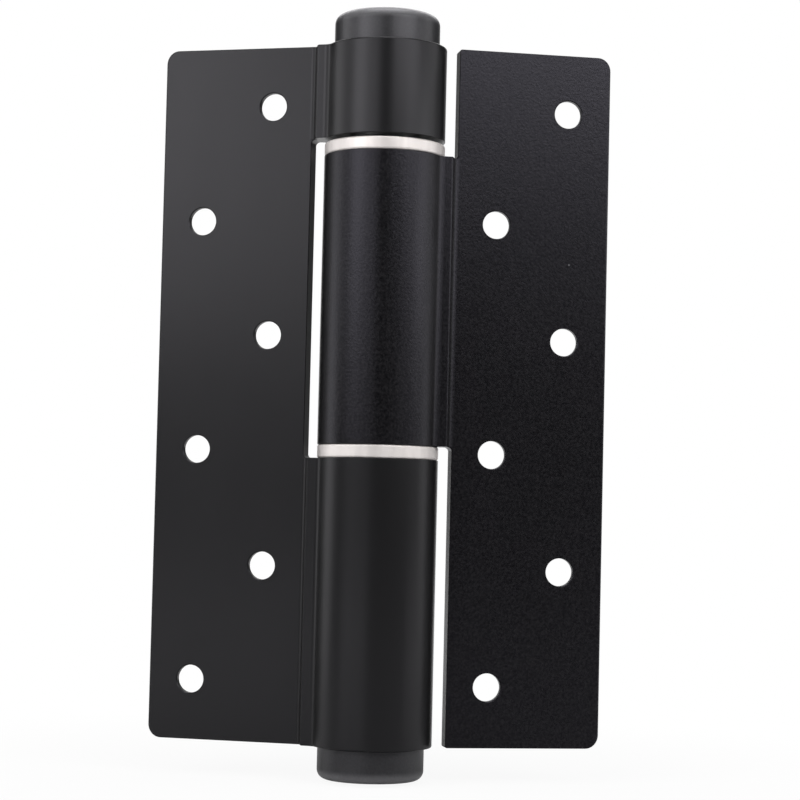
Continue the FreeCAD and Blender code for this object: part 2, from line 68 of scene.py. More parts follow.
# where the hinge is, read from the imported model, in metres
frameLow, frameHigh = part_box("frame_leaf")
lowerRingLow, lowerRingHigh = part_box("lower_ring")
upperRingLow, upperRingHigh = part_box("upper_ring")
barrelX = (lowerRingLow.x + lowerRingHigh.x) / 2
barrelY = (lowerRingLow.y + lowerRingHigh.y) / 2
barrelRadius = frameHigh.y - barrelY
leafBottom, leafTop = frameLow.z, frameHigh.z
swing = next(joint for joint in frame["joints"] if joint["name"] == "leaf_swing")
restAngle = -math.radians(swing["range_deg"][0])     # the door leaf stands this far back from flat
middle = Vector((barrelX, barrelY, (leafBottom + leafTop) / 2))


# a node's output, for sums written as plain Python: each operator adds a Math node
class Wire:
    def __init__(self, graph, socket):
        self.graph, self.socket = graph, socket

    def __add__(self, other): return self.graph.math("ADD", self, other)
    def __radd__(self, other): return self.graph.math("ADD", other, self)
    def __sub__(self, other): return self.graph.math("SUBTRACT", self, other)
    def __rsub__(self, other): return self.graph.math("SUBTRACT", other, self)
    def __mul__(self, other): return self.graph.math("MULTIPLY", self, other)
    def __rmul__(self, other): return self.graph.math("MULTIPLY", other, self)
    def __mod__(self, other): return self.graph.math("MODULO", self, other)
    def __gt__(self, other): return self.graph.math("GREATER_THAN", self, other)
    def __lt__(self, other): return self.graph.math("LESS_THAN", self, other)


class Graph:
    def __init__(self, tree):
        self.tree = tree

    def add(self, kind, settings=None, inputs=None, out=0):
        # the settings go first, because some of them change the sockets
        node = self.tree.nodes.new(kind)
        for key, value in (settings or {}).items():
            setattr(node, key, value)
        for key, value in (inputs or {}).items():
            for item in value if isinstance(value, list) else [value]:
                if isinstance(item, Wire):
                    self.tree.links.new(item.socket, node.inputs[key])
                else:
                    node.inputs[key].default_value = item
        return Wire(self, node.outputs[out]) if node.outputs else None

    def math(self, operation, *values):
        return self.add("ShaderNodeMath", {"operation": operation}, dict(enumerate(values)))

    def blend(self, factor, first, second):
        # 0, 6 and 7 are a Mix node's factor and colours, and 2 is the colour it gives
        return self.add("ShaderNodeMix", {"data_type": "RGBA"}, {0: factor, 6: first, 7: second}, out=2)

    def noise(self, place, scale, detail=2.0, roughness=0.5):
        return self.add("ShaderNodeTexNoise", {}, {
            "Vector": place, "Scale": scale, "Detail": detail, "Roughness": roughness}, out="Fac")

    def between(self, value, low, high, newLow=0.0, newHigh=1.0):
        return self.add("ShaderNodeMapRange", {"interpolation_type": "SMOOTHSTEP"}, {
            "Value": value, "From Min": low, "From Max": high, "To Min": newLow, "To Max": newHigh})

    def stretched(self, place, scale):
        return self.add("ShaderNodeMapping", {}, {"Vector": place, "Scale": scale})

    def bump(self, height, distance, strength=1.0):
        return self.add("ShaderNodeBump", {}, {
            "Strength": strength, "Distance": distance, "Height": height}, out="Normal")


def newFinish(name):
    material = bpy.data.materials.new(name)
    material.use_nodes = True
    material.node_tree.nodes.clear()
    graph = Graph(material.node_tree)
    return material, graph, graph.add("ShaderNodeTexCoord", out="Object")


def surface(graph, steady, varying):
    # steady values go straight on the shader's own sockets
    shader = graph.add("ShaderNodeBsdfPrincipled", {}, {**steady, **varying})
    graph.add("ShaderNodeOutputMaterial", {}, {"Surface": shader})


def eitherSide(noise, spread):
    # noise runs from 0 to 1; this runs from half the spread below 0 to half above
    return (noise - 0.5) * spread


# coated finishes; scales are per metre, heights in metres
leafBlackLook = {
    "dark": (0.0060, 0.0060, 0.0062, 1),
    "light": (0.0085, 0.0085, 0.0088, 1),
    "cloud": 28,              # slow change of tone
    "grain": 2600,            # texture of the coating
    "grainFrom": 0.3,         # grain at or under this is dark
    "grainTo": 0.75,          # and from this on light
    "grainHeight": 0.000010,
    "grainTone": 0.10,        # share of the grain in the tone, the rest is cloud
    "grainRoughness": 0.06,
    "roughness": 0.31,
    "roughnessSpread": 0.06,
    "smearScale": 3,          # smears to a cloud
    "smearLength": 0.35,      # scale up the axis, so smears run that way
    "specular": 0.30,
    "index": 1.5,             # of refraction
    "tint": (0.95, 0.93, 1.0, 1),
    "speck": (0.16, 0.16, 0.17, 1),       # a few specks of dust
    "speckCells": 95,         # places where one may lie
    "speckSize": 0.022,       # in cells
    "speckPatch": 46,         # areas with and without
    "speckFrom": 0.53,        # areas over this have specks
    "speckTone": 0.7,
}

leafGrainLook = {
    **leafBlackLook,
    "dark": (0.0004, 0.0004, 0.0004, 1),
    "light": (0.0100, 0.0096, 0.0100, 1),
    "grain": 1500,
    "grainHeight": 0.000045,
    "grainTone": 0.95,
    "specular": 0.285,
    "tint": (0.87, 0.84, 1.0, 1),
}

capBlackLook = {
    **leafBlackLook,
    "dark": (0.013, 0.013, 0.014, 1),
    "light": (0.034, 0.034, 0.036, 1),
    "cloud": 130,
    "grain": 1700,
    "grainHeight": 0.00003,
    "grainTone": 0.45,
    "roughness": 0.34,
    "specular": 0.45,
    # painted highlight: a paler colour on the crown's rounding, standing in for light falling on it
    "paintedRimHighlight": (0.180, 0.178, 0.186, 1),
    "paintedRimHighlightFrom": (0.0953, 0.0978),     # up the axis: fades in, then out on the flat top
    "paintedRimHighlightTo": (0.0985, 0.0990),
    "paintedRimHighlightEven": 0.7,          # painted highlight that is the same all round
    "paintedRimHighlightPatchy": 0.3,        # and painted highlight that follows the tone
}


def coated(name, look):
    material, graph, place = newFinish(name)
    cloud = graph.noise(place, look["cloud"], detail=3)
    grain = graph.noise(place, look["grain"], detail=3, roughness=0.6)
    grainTone = graph.between(grain, look["grainFrom"], look["grainTo"])
    tone = cloud * (1 - look["grainTone"]) + grainTone * look["grainTone"]
    colour = graph.blend(tone, look["dark"], look["light"])
    # painted highlight: a paler band round the caps' crowns, where light would catch their rounded rims
    if "paintedRimHighlight" in look:
        height = graph.add("ShaderNodeSeparateXYZ", {}, {"Vector": place}, out="Z")
        squared = height * height             # the same on both ends of the hinge
        rim = graph.between(squared, *(level ** 2 for level in look["paintedRimHighlightFrom"]))
        rim = rim * (1 - graph.between(squared, *(level ** 2 for level in look["paintedRimHighlightTo"])))
        colour = graph.blend(rim * (look["paintedRimHighlightEven"] + tone * look["paintedRimHighlightPatchy"]), colour, look["paintedRimHighlight"])
    cells = graph.add("ShaderNodeTexVoronoi", {}, {"Vector": place, "Scale": look["speckCells"]},
                      out="Distance")
    patch = graph.noise(place, look["speckPatch"], detail=0)
    dust = (cells < look["speckSize"]) * (patch > look["speckFrom"])
    colour = graph.blend(dust * look["speckTone"], colour, look["speck"])
    smear = graph.noise(graph.stretched(place, (1, 1, look["smearLength"])),
                        look["cloud"] * look["smearScale"], detail=4)
    roughness = (look["roughness"] + eitherSide(smear, look["roughnessSpread"])
                 + eitherSide(grain, look["grainRoughness"]))
    steady = {"Specular IOR Level": look["specular"], "Specular Tint": look["tint"], "IOR": look["index"]}
    surface(graph, steady, {"Base Color": colour, "Roughness": roughness,
                            "Normal": graph.bump(grain, look["grainHeight"])})
    return material


# turned metals
turnedLook = {
    "patch": 120,             # mottling round the metal
    "patchLength": 0.3,       # its scale up the axis
    "patchFrom": 0.28,
    "patchTo": 0.68,
    "turning": 4200,          # tool marks, up the axis
    "markLength": 0.01,       # their scale round it
    "markHeight": 0.000002,
    "markRoughness": 0.08,
    "roughnessSpread": 0.12,
    "metallic": 1.0,
}

ringLook = {
    **turnedLook,
    "dark": (0.66, 0.62, 0.605, 1),
    "light": (0.82, 0.775, 0.755, 1),
    "patch": 150,
    "turning": 5200,
    "markHeight": 0.0000012,
    "roughness": 0.48,
    "metallic": 0.55,
}

steelLooks = {
    "steel_bright": {"dark": (0.42, 0.42, 0.43, 1), "light": (0.60, 0.60, 0.61, 1), "roughness": 0.30},
    "steel_dark": {"dark": (0.10, 0.10, 0.11, 1), "light": (0.18, 0.18, 0.19, 1), "roughness": 0.42},
    "spring_steel": {"dark": (0.20, 0.20, 0.22, 1), "light": (0.34, 0.34, 0.36, 1), "roughness": 0.36},
    "bearing_bronze": {"dark": (0.44, 0.27, 0.12, 1), "light": (0.62, 0.41, 0.20, 1), "roughness": 0.38},
}


def turnedMetal(name, look):
    material, graph, place = newFinish(name)
    patch = graph.noise(graph.stretched(place, (1, 1, look["patchLength"])), look["patch"],
                        detail=3, roughness=0.6)
    marks = graph.noise(graph.stretched(place, (look["markLength"], look["markLength"], 1)),
                        look["turning"], detail=2)
    tone = graph.between(patch, look["patchFrom"], look["patchTo"])
    roughness = (look["roughness"] + eitherSide(patch, look["roughnessSpread"])
                 + eitherSide(marks, look["markRoughness"]))
    surface(graph, {"Metallic": look["metallic"]},
            {"Base Color": graph.blend(tone, look["dark"], look["light"]), "Roughness": roughness,
             "Normal": graph.bump(marks, look["markHeight"])})
    return material


rubberLook = {
    "dark": (0.010, 0.010, 0.010, 1),
    "light": (0.022, 0.022, 0.021, 1),
    "grain": 3800,
    "grainHeight": 0.00001,
    "grainStrength": 0.6,
    "roughness": 0.55,
    "roughnessSpread": 0.3,
    "specular": 0.35,
}


def sealRubber(name, look):
    material, graph, place = newFinish(name)
    grain = graph.noise(place, look["grain"], detail=4, roughness=0.7)
    surface(graph, {"Specular IOR Level": look["specular"]}, {
        "Base Color": graph.blend(grain, look["dark"], look["light"]),
        "Roughness": look["roughness"] + eitherSide(grain, look["roughnessSpread"]),
        "Normal": graph.bump(grain, look["grainHeight"], look["grainStrength"])})
    return material


# by the names of the record's material slots
finishes = {
    "leaf_black": coated("satinBlack", leafBlackLook),
    "leaf_grain": coated("grainBlack", leafGrainLook),
    "cap_black": coated("capBlack", capBlackLook),
    "ring_polished": turnedMetal("polishedRing", ringLook),
    "seal_rubber": sealRubber("sealRubber", rubberLook),
}
for slotName, look in steelLooks.items():
    finishes[slotName] = turnedMetal(slotName, {**turnedLook, **look})
print("finishes made:", len(finishes))


meshing = {
    "weld": 1e-7,             # points nearer than this become one
    "cutWeld": 1e-6,          # the same, after cuts
    "onAxis": 1e-6,           # a turned profile closes at radii under this
    "flatAngle": 0.4,         # degrees, faces that meet flatter than this become one
    "sharpAngle": 35,         # degrees, edges stay sharp from here on
    "faceWeight": 90,         # how much the large faces rule the shading
    "rimSteps": 4,            # rounding along the rims of a plate
}


def outlineOf(corners, steps):
    # corners are (x, y, radius); a radius of 0 stays sharp
    points = []
    for index, (x, y, radius) in enumerate(corners):
        here = Vector((x, y))
        if not radius:
            points.append(here)
            continue
        back = (Vector(corners[index - 1][:2]) - here).normalized()
        ahead = (Vector(corners[(index + 1) % len(corners)][:2]) - here).normalized()
        half = back.angle(ahead) / 2
        centre = here + (back + ahead).normalized() * (radius / math.sin(half))
        first = here + back * (radius / math.tan(half)) - centre
        last = here + ahead * (radius / math.tan(half)) - centre
        turn = -first.angle_signed(last)
        points += [centre + Matrix.Rotation(turn * step / steps, 2) @ first for step in range(steps + 1)]
    return points


def arcOf(centre, radius, start, end, steps):
    return [Vector((centre[0] + radius * math.cos(start + (end - start) * step / steps),
                    centre[1] + radius * math.sin(start + (end - start) * step / steps)))
            for step in range(steps + 1)]


def addObject(name, data):
    thing = bpy.data.objects.new(name, data)
    bpy.context.scene.collection.objects.link(thing)
    return thing


def newPiece(name, build, finish=None):
    mesh = bpy.data.meshes.new(name)
    bmesh.ops.remove_doubles(build, verts=build.verts, dist=meshing["weld"])
    bmesh.ops.recalc_face_normals(build, faces=build.faces)
    build.to_mesh(mesh)
    build.free()
    if finish:
        mesh.materials.append(finish)
    return addObject(name, mesh)


def outwards(outline):
    # each point's outward direction, long enough to move both its edges by one
    area = sum(a.x * b.y - b.x * a.y for a, b in zip(outline, outline[1:] + outline[:1]))
    directions = []
    for index, here in enumerate(outline):
        before = (here - outline[index - 1]).normalized()
        after = (outline[(index + 1) % len(outline)] - here).normalized()
        normal = (Vector((before.y, -before.x)) + Vector((after.y, -after.x))).normalized()
        directions.append(normal * math.copysign(1 / normal.dot(Vector((before.y, -before.x))), area))
    return directions


def extruded(name, outline, low, high, spot, edges=(0, 0), reachEdge=None):
    # spot puts (outline x, outline y, height) in space; edges rounds the low and high rims,
    # and where the outline faces along x the rounding grows to reachEdge
    directions = outwards(outline)
    steps = meshing["rimSteps"]
    turns = [math.pi / 2]
    if max(edges):
        turns = [math.pi / 2 * step / steps for step in range(steps + 1)]
    build = bmesh.new()

    def row(face, sign, edge, turn):
        verts = []
        for point, direction in zip(outline, directions):
            growth = 0
            if reachEdge is not None:
                growth = (reachEdge - edge) * max(0, direction.normalized().x) ** 2
            moved = point - direction * ((edge + growth) * (1 - math.sin(turn)))
            level = face + sign * (edge + growth) * (1 - math.cos(turn))
            verts.append(build.verts.new(spot(moved.x, moved.y, level)))
        return verts

    rows = [row(low, 1, edges[0], turn) for turn in turns]
    rows += [row(high, -1, edges[1], turn) for turn in turns[::-1]]
    build.faces.new(rows[0])
    build.faces.new(rows[-1])
    for under, over in zip(rows, rows[1:]):
        for index in range(len(outline)):
            build.faces.new((under[index - 1], under[index], over[index], over[index - 1]))
    return newPiece(name, build)


def turned(name, profile, segments, finish=None):
    # closed profile of (radius, height), spun about Z
    build = bmesh.new()
    rings = []
    for radius, height in profile:
        if radius < meshing["onAxis"]:
            rings.append([build.verts.new((0, 0, height))] * segments)
        else:
            turns = [2 * math.pi * step / segments for step in range(segments)]
            rings.append([build.verts.new((radius * math.cos(turn), radius * math.sin(turn), height))
                          for turn in turns])
    for lower, upper in zip(rings, rings[1:] + rings[:1]):
        for step in range(segments):
            corners = [lower[step - 1], lower[step], upper[step], upper[step - 1]]
            corners = list(dict.fromkeys(corners))        # a corner on the axis counts once
            if len(corners) > 2:
                build.faces.new(corners)
    return newPiece(name, build, finish)


def settle(piece):
    # what the modifiers make becomes the mesh
    depsgraph = bpy.context.evaluated_depsgraph_get()
    made = bpy.data.meshes.new_from_object(piece.evaluated_get(depsgraph))
    made.name = piece.name
    piece.modifiers.clear()
    piece.data = made


def combine(piece, tool, operation):
    modifier = piece.modifiers.new("combine", "BOOLEAN")
    modifier.operation, modifier.solver, modifier.object = operation, "EXACT", tool
    settle(piece)
    bpy.data.objects.remove(tool)


def smooth(piece):
    for face in piece.data.polygons:
        face.use_smooth = True


def flatFaces(piece):
    # large faces shade flat, what rounds their edges shades smooth
    smooth(piece)
    piece.data.set_sharp_from_angle(angle=math.radians(meshing["sharpAngle"]))
    normals = piece.modifiers.new("normals", "WEIGHTED_NORMAL")
    normals.keep_sharp = True
    normals.weight = meshing["faceWeight"]


def put(piece, angle=0.0, height=0.0):
    # onto the barrel's axis, turned about it
    piece.data.transform(Matrix.Translation((barrelX, barrelY, height)) @ Matrix.Rotation(angle, 4, "Z"))


def newTree(name, inputs):
    # a Geometry Nodes tree with named inputs, and a function that reads them
    tree = bpy.data.node_groups.new(name, "GeometryNodeTree")
    for label, kind in inputs.items():
        tree.interface.new_socket(name=label, in_out="INPUT", socket_type="NodeSocket" + kind)
    tree.interface.new_socket(name="Geometry", in_out="OUTPUT", socket_type="NodeSocketGeometry")
    graph = Graph(tree)
    source = tree.nodes.new("NodeGroupInput")
    return tree, graph, lambda label: Wire(graph, source.outputs[label])


def endTree(graph, made, material):
    # plain meshes in one finish
    whole = graph.add("GeometryNodeRealizeInstances", {}, {"Geometry": made})
    painted = graph.add("GeometryNodeSetMaterial", {}, {"Geometry": whole, "Material": material})
    graph.add("NodeGroupOutput", {}, {0: painted})


def runTree(piece, tree, values):
    modifier = piece.modifiers.new(tree.name, "NODES")
    modifier.node_group = tree
    for item in tree.interface.items_tree:
        if item.in_out == "INPUT" and item.name in values:
            modifier[item.identifier] = values[item.name]
    settle(piece)


leafShape = {
    "thickness": 0.0045,
    "closedGap": 0.0018,      # between the leaves when the hinge is shut
    "cornerRadius": 0.0035,
    "innerCorner": 0.0006,
    "notchMargin": 0.00085,
    "notchCorner": 0.0011,
    "shoulderProud": 0.0030,
    "shoulderWidth": 0.00085,
    "shoulderSlope": 0.0010,
    "footRadius": 0.0020,
    "shoulderRadius": 0.0007,
    "webFillet": 0.0028,
    "innerFillet": 0.0010,
    "lowerGap": 0.00025,      # open gap above a ring
    "upperGap": 0.00095,
    "edge": 0.0002,           # rounding of the plate's rims
    "reachEdge": 0.00062,     # and of its outer edge
    "knuckleEdge": 0.00013,   # beside a ring
    "endEdge": 0.00045,       # beside a cap
    "arcSteps": 12,
    "barrelSteps": 150,
}

boreShape = {
    "wall": 0.0031,
    "lip": 0.0010,
    "bottomLip": 0.00365,
    "topLip": 0.0020,
    "slip": 0.00005,
    "keyWidth": 0.0040,
    "keyDepth": 0.0012,
    "past": 0.0010,           # cutting tools reach this far out of the metal
    "sides": 120,
}

holeShape = {
    "radius": 0.0036,
    "sinkRadius": 0.0065,
    "rim": 0.00025,           # chamfer on the mounting face
    "margin": 0.0113,         # far column to the leaf's outer edge
    "step": 0.0186,           # between the columns
    "rows": 6,
    "pitch": 0.0298,
    "sides": 72,
    "coneStart": 0.1,         # radii outside the face where a cone begins
    "coneTip": 0.9,           # radii at its narrow end
    "drillLength": 4,         # leaf thicknesses
}

leafReach = barrelX - frameLow.x
innerFace = leafShape["closedGap"] / 2                              # from the barrel's axis
mountFace = leafShape["thickness"] + leafShape["closedGap"] / 2
shoulderFace = mountFace + leafShape["shoulderProud"]
shoulderEdge = barrelRadius + leafShape["shoulderWidth"]
shoulderFoot = shoulderEdge + leafShape["shoulderSlope"]
notchEdge = shoulderFoot + leafShape["notchMargin"]
boreRadius = barrelRadius - boreShape["wall"]
lipRadius = boreRadius - boreShape["lip"]
keyReach = boreRadius + boreShape["keyDepth"]
farColumn = leafReach - holeShape["margin"]
nearColumn = farColumn - holeShape["step"]
firstRow = (leafBottom + leafTop - (holeShape["rows"] - 1) * holeShape["pitch"]) / 2


def knuckleOutline(shape):
    # (along the leaf, towards the mounting face); the first corners are hidden in the plate
    def fillet(level, radius, sign):
        out = level + sign * radius
        along = math.sqrt((barrelRadius + radius) ** 2 - out ** 2)
        return along, out, math.atan2(out, along)

    innerAlong, innerOut, innerTurn = fillet(innerFace, shape["innerFillet"], -1)
    webAlong, webOut, webTurn = fillet(shoulderFace, shape["webFillet"], 1)
    inPlate = (innerFace + mountFace) / 2
    footEnd = shoulderFoot + shape["footRadius"]
    steps = shape["arcSteps"]
    web = outlineOf([
        (innerAlong, innerFace, 0),
        (innerAlong, inPlate, 0),
        (footEnd, inPlate, 0),
        (footEnd, mountFace, 0),
        (shoulderFoot, mountFace, shape["footRadius"]),
        (shoulderEdge, shoulderFace, shape["shoulderRadius"]),
        (webAlong, shoulderFace, 0),
    ], steps // 2)
    web += arcOf((webAlong, webOut), shape["webFillet"], -math.pi / 2, webTurn - math.pi, steps)[1:]
    web += arcOf((0, 0), barrelRadius, webTurn, 2 * math.pi + innerTurn, shape["barrelSteps"])[1:]
    web += arcOf((innerAlong, innerOut), shape["innerFillet"],
                 innerTurn + math.pi, math.pi / 2, steps)[1:-1]
    return web


def plateOutline(shape, knuckles):
    # (along the leaf, height); beside its own knuckles the plate runs on into the web
    hidden = barrelRadius - shape["notchCorner"]
    corners = [(leafReach, leafBottom, shape["cornerRadius"]), (leafReach, leafTop, shape["cornerRadius"])]
    ends = [level for knuckle in knuckles for level in knuckle]
    levels = sorted({leafBottom, leafTop, *ends}, reverse=True)
    for upper, lower in zip(levels, levels[1:]):
        isWeb = any(low < (upper + lower) / 2 < high for low, high in knuckles)
        for level in (upper, lower):
            isEnd = level in (leafBottom, leafTop)
            radius = 0 if isWeb else shape["innerCorner"] if isEnd else shape["notchCorner"]
            corners.append((hidden if isWeb else notchEdge, level, radius))
    return outlineOf(corners, shape["arcSteps"])


def screwHoleTree():
    # zigzag of countersunk holes, cut through whatever mesh comes in
    tree, graph, read = newTree("screwHoles", {
        "Geometry": "Geometry", "Rows": "Int", "Pitch": "Float", "First Row": "Float",
        "First Column": "Float", "Second Column": "Float", "Hole Radius": "Float",
        "Sink Radius": "Float", "Sink Face": "Float", "Thickness": "Float", "Rim": "Float",
        "Cone Start": "Float", "Cone Tip": "Float", "Drill Length": "Float",
        "Sides": "Int", "Material": "Material"})
    row = graph.add("GeometryNodeInputIndex")
    side = row % 2                        # the rows take the two columns in turn
    along = read("First Column") + (read("Second Column") - read("First Column")) * side
    rise = read("First Row") + read("Pitch") * row
    over = read("Hole Radius") * read("Cone Start")
    narrow = read("Hole Radius") * read("Cone Tip")

    def cone(wide):
        # 45 degrees, wide end at its foot
        return graph.add("GeometryNodeMeshCone", {}, {
            "Vertices": read("Sides"), "Radius Bottom": wide,
            "Radius Top": narrow, "Depth": wide - narrow}, out="Mesh")

    def atHoles(tool, face, turn):
        spot = graph.add("ShaderNodeCombineXYZ", {}, {"X": along, "Y": face, "Z": rise})
        spots = graph.add("GeometryNodePoints", {}, {"Count": read("Rows"), "Position": spot})
        placed = graph.add("GeometryNodeInstanceOnPoints", {}, {
            "Points": spots, "Instance": tool, "Rotation": (turn, 0, 0)})
        return graph.add("GeometryNodeRealizeInstances", {}, {"Geometry": placed})

    drill = graph.add("GeometryNodeMeshCylinder", {}, {
        "Vertices": read("Sides"), "Radius": read("Hole Radius"),
        "Depth": read("Thickness") * read("Drill Length")}, out="Mesh")
    rimFace = read("Sink Face") - read("Thickness")
    tools = [
        atHoles(drill, read("Sink Face"), math.pi / 2),
        atHoles(cone(read("Sink Radius") + over), read("Sink Face") + over, math.pi / 2),
        atHoles(cone(read("Hole Radius") + read("Rim") + over), rimFace - over, -math.pi / 2),
    ]
    cut = graph.add("GeometryNodeMeshBoolean", {"operation": "DIFFERENCE", "solver": "EXACT"},
                    {"Mesh 1": read("Geometry"), "Mesh 2": tools})
    endTree(graph, cut, read("Material"))
    return tree


def clipGroove(node):
    # radius, foot and top of the groove that a snap ring sits in
    low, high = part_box(node)
    slip = boreShape["slip"]
    return max(high.x - low.x, high.y - low.y) / 2 + slip, low.z - slip, high.z + slip


def boreTool(low, high, grooves=(), lip=None):
    # stepped bore with its keyways; lip is (low, high) of the narrow end
    profile = [(0, low), (boreRadius, low)]
    for radius, foot, top in grooves:
        profile += [(boreRadius, foot), (radius, foot), (radius, top), (boreRadius, top)]
    profile += [(boreRadius, high), (0, high)]
    tool = turned("bore", profile, boreShape["sides"])
    half = boreShape["keyWidth"] / 2
    corners = [(-keyReach, -half, 0), (keyReach, -half, 0), (keyReach, half, 0), (-keyReach, half, 0)]
    combine(tool, extruded("keys", outlineOf(corners, 1), low, high, lambda x, y, z: (x, y, z)), "UNION")
    if lip:
        foot, top = lip[0] - boreShape["past"], lip[1] + boreShape["past"]
        profile = [(0, foot), (lipRadius, foot), (lipRadius, top), (0, top)]
        combine(tool, turned("lip", profile, boreShape["sides"]), "UNION")
    return tool


def makeLeaf(name, side, knuckles, bores, columns, finish):
    # drawn with the barrel's axis at the origin and the leaf flat along X, to the left at side -1
    def plate(along, height, out):
        return side * along, -out, height

    def section(along, out, height):
        return side * along, -out, height

    leaf = extruded(name, plateOutline(leafShape, knuckles), innerFace, mountFace, plate,
                    (leafShape["edge"], leafShape["edge"]), leafShape["reachEdge"])
    for low, high in knuckles:
        edges = [leafShape["endEdge" if level in (leafBottom, leafTop) else "knuckleEdge"]
                 for level in (low, high)]
        combine(leaf, extruded("knuckle", knuckleOutline(leafShape), low, high, section, edges), "UNION")
    for tool in bores:
        combine(leaf, tool, "DIFFERENCE")
    runTree(leaf, screwHoles, {
        "Rows": holeShape["rows"], "Pitch": holeShape["pitch"], "First Row": firstRow,
        "First Column": side * columns[0], "Second Column": side * columns[1],
        "Hole Radius": holeShape["radius"], "Sink Radius": holeShape["sinkRadius"],
        "Sink Face": -innerFace, "Thickness": leafShape["thickness"], "Rim": holeShape["rim"],
        "Cone Start": holeShape["coneStart"], "Cone Tip": holeShape["coneTip"],
        "Drill Length": float(holeShape["drillLength"]),
        "Sides": holeShape["sides"], "Material": finish})
    build = bmesh.new()
    build.from_mesh(leaf.data)
    bmesh.ops.remove_doubles(build, verts=build.verts, dist=meshing["cutWeld"])
    bmesh.ops.dissolve_limit(build, angle_limit=math.radians(meshing["flatAngle"]),
                             verts=build.verts, edges=build.edges)
    build.to_mesh(leaf.data)
    build.free()
    return leaf


screwHoles = screwHoleTree()
bottomKnuckle = (leafBottom, lowerRingLow.z)
middleKnuckle = (lowerRingHigh.z + leafShape["lowerGap"], upperRingLow.z)
topKnuckle = (upperRingHigh.z + leafShape["upperGap"], leafTop)
bottomLip = (bottomKnuckle[1] - boreShape["bottomLip"], bottomKnuckle[1])
topLip = (topKnuckle[0], topKnuckle[0] + boreShape["topLip"])

frameLeaf = makeLeaf("frameLeaf", -1, [bottomKnuckle, topKnuckle], [
    boreTool(leafBottom - boreShape["past"], bottomLip[0], [clipGroove("plug_clip")], bottomLip),
    boreTool(topLip[1], leafTop + boreShape["past"], [], topLip),
], (farColumn, nearColumn), finishes["leaf_black"])
doorLeaf = makeLeaf("doorLeaf", 1, [middleKnuckle], [
    boreTool(middleKnuckle[0] - boreShape["past"], middleKnuckle[1] + boreShape["past"],
             [clipGroove("hub_clip")]),
], (nearColumn, farColumn), finishes["leaf_grain"])
for leaf, angle, body, node, slotName in ((frameLeaf, 0, "frame", "frame_leaf", "leaf_black"),
                                          (doorLeaf, restAngle, "door", "door_leaf", "leaf_grain")):
    put(leaf, angle)
    flatFaces(leaf)
    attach(leaf, body)
    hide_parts(node)
print("leaves cut: %d and %d faces" % (len(frameLeaf.data.polygons), len(doorLeaf.data.polygons)))


ringShape = {
    "inset": 0.00002,         # inside the barrel's surface
    "footEdge": 0.00065,
    "topEdge": 0.0005,
    "lowerRise": 0.00015,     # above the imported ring's top
    "upperRise": 0.0,
    "steps": 8,
    "segments": 192,
}


def thrustRing(name, node, innerRadius, body, rise):
    low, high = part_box(node)
    outer, top = barrelRadius - ringShape["inset"], high.z + rise
    profile = outlineOf([
        (innerRadius, low.z, 0),
        (outer, low.z, ringShape["footEdge"]),
        (outer, top, ringShape["topEdge"]),
        (innerRadius, top, 0),
    ], ringShape["steps"])
    ring = turned(name, profile, ringShape["segments"], finishes["ring_polished"])
    put(ring)
    flatFaces(ring)
    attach(ring, body)
    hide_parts(node)


bearingLow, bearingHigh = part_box("upper_bearing")
bearingBore = (bearingHigh.x - bearingLow.x) / 2 - boreShape["wall"]
thrustRing("lowerRing", "lower_ring", lipRadius, "frame", ringShape["lowerRise"])
thrustRing("upperRing", "upper_ring", bearingBore, "door", ringShape["upperRise"])
print("rings turned")


capShape = {
    "crownWidth": 0.0025,     # rounding round the rim
    "crownHeight": 0.0025,
    "crownPower": 2.3,        # 2 is an ellipse, more is squarer
    "domeRise": 0.0008,       # from the rim up to the middle
    "neckDepth": 0.00015,
    "neckHeight": 0.0002,
    "threadLength": 0.0048,
    "wall": 0.00185,
    "roof": 0.0035,
    "crownSteps": 24,
    "domeSteps": 6,
    "segments": 160,
    "sharpAngle": 40,         # degrees
}


def capProfile(shape, radius, height, threadRadius):
    # (radius, height above the leaf's end)
    hollow = threadRadius - shape["wall"]
    rimHeight = height - shape["domeRise"]

    def dome(across):
        return shape["domeRise"] * (1 - (across / radius) ** 2)

    profile = [
        (0, height - shape["roof"]),
        (hollow, height - shape["roof"]),
        (hollow, -shape["threadLength"]),
        (threadRadius, -shape["threadLength"]),
        (threadRadius, 0),
        (radius - shape["neckDepth"], 0),
        (radius - shape["neckDepth"], shape["neckHeight"]),
        (radius, shape["neckHeight"] + shape["neckDepth"] / 2),
    ]
    for step in range(shape["crownSteps"] + 1):
        turn = math.pi / 2 * step / shape["crownSteps"]
        inwards, rise = (abs(part(turn)) ** (2 / shape["crownPower"]) for part in (math.cos, math.sin))
        across = radius - shape["crownWidth"] * (1 - inwards)
        profile.append((across, rimHeight - shape["crownHeight"] * (1 - rise) + dome(across)))
    for step in range(1, shape["domeSteps"]):
        across = (radius - shape["crownWidth"]) * (1 - step / shape["domeSteps"])
        profile.append((across, rimHeight + dome(across)))
    return profile + [(0, height)]


def makeCap(name, node, turnOver, seat):
    low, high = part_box(node)
    radius = (high.x - low.x) / 2
    height = max(high.z - leafTop, leafBottom - low.z)
    cap = turned(name, capProfile(capShape, radius, height, boreRadius - boreShape["slip"]),
                 capShape["segments"], finishes["cap_black"])
    if turnOver:
        cap.data.transform(Matrix.Rotation(math.pi, 4, "X"))
    put(cap, 0, seat)
    smooth(cap)
    cap.data.set_sharp_from_angle(angle=math.radians(capShape["sharpAngle"]))
    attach(cap, "frame")
    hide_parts(node)


makeCap("topCap", "top_cap", False, leafTop)
makeCap("bottomCap", "bottom_cap", True, leafBottom)
print("caps turned")


springShape = {
    "wireRadius": 0.0015,
    "lowLeg": 0.00855,        # leg's end to the middle of the first turn
    "highLeg": 0.0055,        # and of the last
    "turnGap": 0.0008,
    "pointsPerTurn": 40,
    "sides": 14,
}


